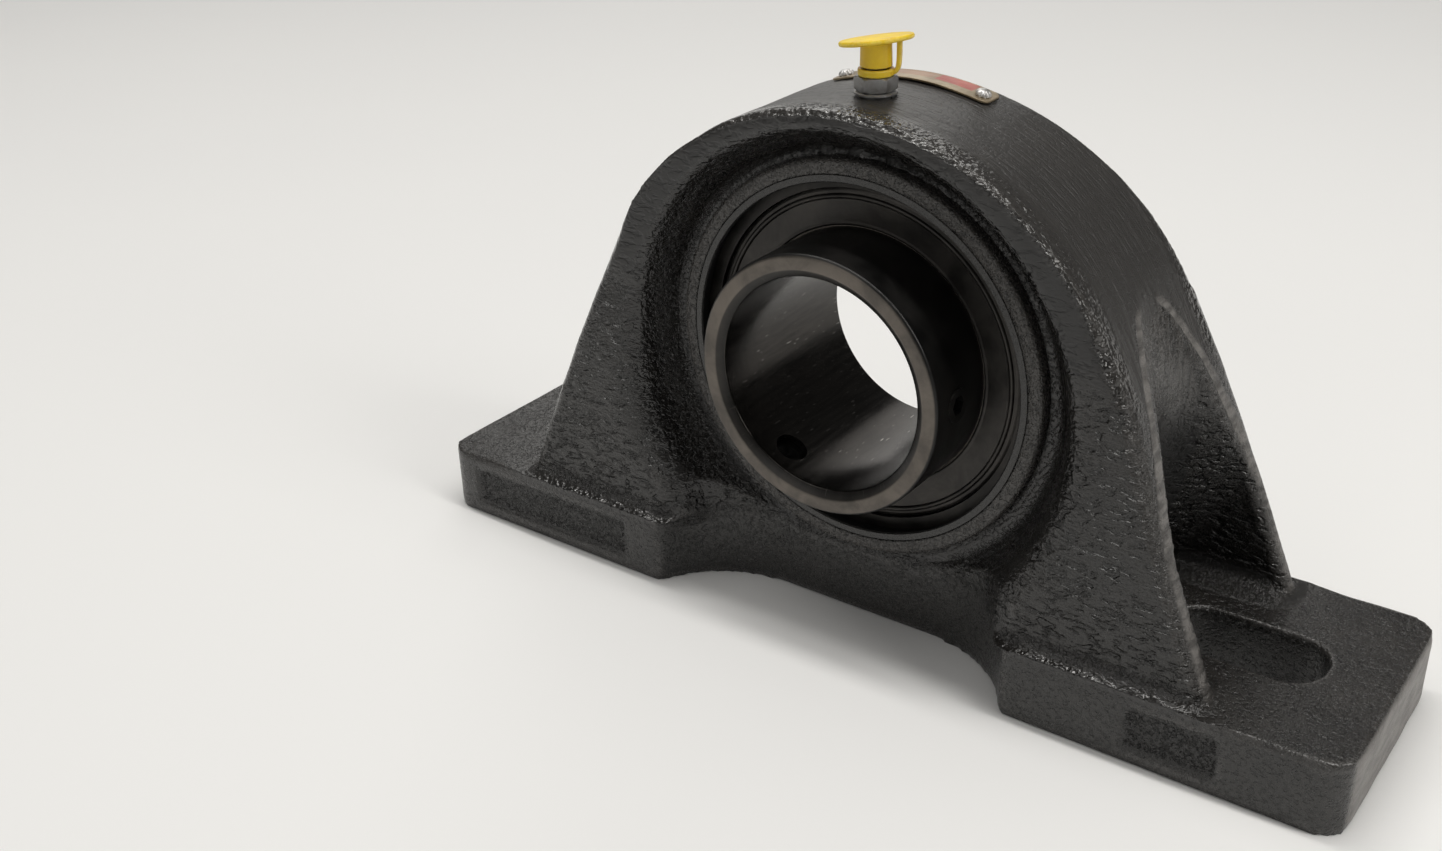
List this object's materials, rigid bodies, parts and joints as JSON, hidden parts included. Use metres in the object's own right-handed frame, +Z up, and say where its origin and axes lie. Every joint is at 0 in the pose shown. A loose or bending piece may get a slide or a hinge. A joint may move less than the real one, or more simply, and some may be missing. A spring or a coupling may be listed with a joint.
{
  "type": "pillow_block_bearing",
  "caption": "Foot-mounted pillow block: black cast housing with a self-aligning ball insert, set-screw collar, capped grease fitting and blank nameplate",
  "frame": {"origin": "on the underside of the base, straight below the shaft's centre", "axes": "X along the base, Y front to back with the front at -Y, Z up"},
  "size_m": [0.302, 0.0764, 0.1728],
  "materials": {
    "cast_paint": "semi-gloss black paint over a rough sand casting",
    "bearing_steel": "ground bearing steel",
    "dark_steel": "black oxide with ground faces",
    "shield_steel": "dark coated sheet steel",
    "brass": "machined",
    "felt": "oiled felt",
    "zinc_steel": "zinc plated",
    "yellow_plastic": "moulded, slightly glossy",
    "plate_metal": "printed sheet"
  },
  "bodies": {
    "block": {"housing": "cast_paint", "grease_fitting": "zinc_steel", "fitting_spring": "zinc_steel", "nameplate": "plate_metal", "left_drive_screw": "zinc_steel", "right_drive_screw": "zinc_steel"},
    "pin": {"lock_pin": "bearing_steel"},
    "insert": {"outer_ring": "bearing_steel", "front_seal_shield": "shield_steel", "front_felt_seal": "felt", "front_seal_retainer": "shield_steel", "rear_seal_shield": "shield_steel", "rear_felt_seal": "felt", "rear_seal_retainer": "shield_steel"},
    "spindle": {"inner_ring": "dark_steel", "right_set_screw": "dark_steel", "lower_set_screw": "dark_steel"},
    "ball_set": {"cage": "brass", "balls": "bearing_steel"},
    "check_ball": {"fitting_check_ball": "bearing_steel"},
    "cap": {"grease_cap": "yellow_plastic"}
  },
  "joints": [
    {"name": "insert_yaw", "type": "hinge", "parent": "block", "child": "pin", "pos_m": [0, 0, 0.0829], "axis": [0, 0, 1], "range_deg": [-3, 3]},
    {"name": "insert_pitch", "type": "hinge", "parent": "pin", "child": "insert", "pos_m": [0, 0, 0.0829], "axis": [1, 0, 0], "range_deg": [-3, 3]},
    {"name": "shaft_spin", "type": "hinge", "parent": "insert", "child": "spindle", "pos_m": [0, 0, 0.0829], "axis": [0, -1, 0], "continuous": true},
    {"name": "cage_orbit", "type": "hinge", "parent": "insert", "child": "ball_set", "pos_m": [0, 0, 0.0829], "axis": [0, -1, 0], "continuous": true},
    {"name": "check_ball_lift", "type": "slide", "parent": "block", "child": "check_ball", "axis": [0, 0, 1], "range_m": [-0.0008, 0], "stiffness_N_per_m": 400, "deforming": ["fitting_spring"]},
    {"name": "cap_pull", "type": "slide", "parent": "block", "child": "cap", "axis": [0, 0, 1], "range_m": [0, 0.02]}
  ],
  "couplings": [
    {"joint": "cage_orbit", "follows": "shaft_spin", "ratio": 0.40662}
  ]
}
